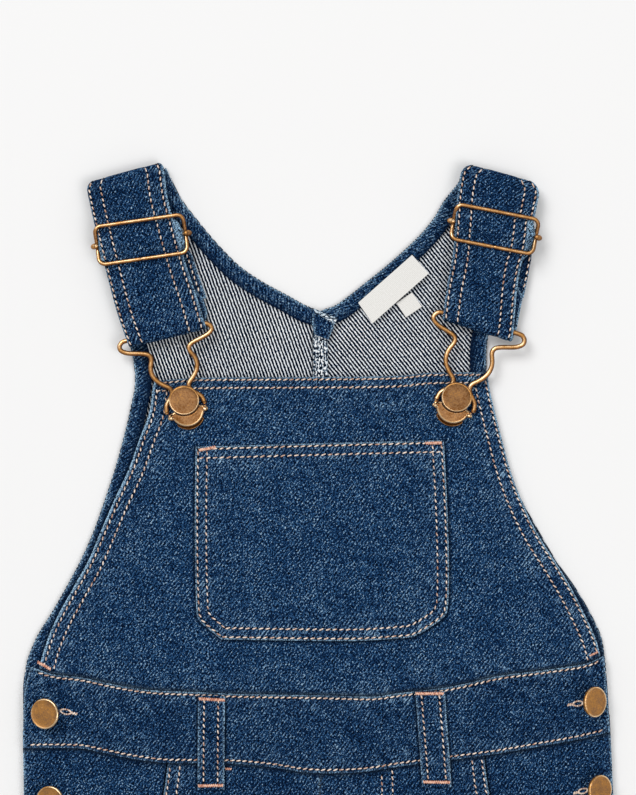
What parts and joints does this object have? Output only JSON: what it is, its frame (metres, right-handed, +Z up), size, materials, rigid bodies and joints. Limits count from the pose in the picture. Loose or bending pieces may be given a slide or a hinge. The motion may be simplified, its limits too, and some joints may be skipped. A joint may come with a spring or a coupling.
{
  "type": "kids dungarees",
  "caption": "Child's denim dungarees laid flat, with a bib pocket, waistband and belt loops, sliders and wire clips on the straps, and buttoned sides.",
  "frame": {"origin": "middle of the garment's outline, on the surface that its back lies on", "axes": "+Y from the leg hems towards the shoulders, +X to the right as seen from above, +Z up from the surface"},
  "size_m": [0.283, 0.6383, 0.0148],
  "materials": {
    "denim": "indigo denim, outer face, worn along its edges",
    "denim_inside": "denim, inner face with white diagonal yarns",
    "woven_label": "off-white woven tape",
    "antique_brass": "brushed antique brass"
  },
  "bodies": {
    "root": {"armhole_hem_left": "denim", "armhole_hem_right": "denim", "back_left": "denim_inside", "back_leg_left": "denim", "back_leg_right": "denim", "back_right": "denim_inside", "back_seam": "denim_inside", "back_waistband": "denim", "belt_loop_left": "denim", "belt_loop_right": "denim", "bib": "denim", "bib_button_left": "antique_brass", "bib_button_right": "antique_brass", "bib_pocket": "denim", "button_stand_left": "denim", "button_stand_right": "denim", "clip_plate_left": "antique_brass", "clip_plate_right": "antique_brass", "clip_wire_left": "antique_brass", "clip_wire_right": "antique_brass", "front_leg_left": "denim", "front_leg_right": "denim", "front_waistband": "denim", "hip_piece_left": "denim", "hip_piece_right": "denim", "neck_hem_left": "denim", "neck_hem_right": "denim", "neck_label": "woven_label", "side_button_left_lower": "antique_brass", "side_button_left_upper": "antique_brass", "side_button_right_lower": "antique_brass", "side_button_right_upper": "antique_brass", "size_label": "woven_label", "slider_bar_left": "antique_brass", "slider_bar_right": "antique_brass", "slider_frame_left": "antique_brass", "slider_frame_right": "antique_brass", "strap_left": "denim", "strap_right": "denim"}
  },
  "joints": []
}
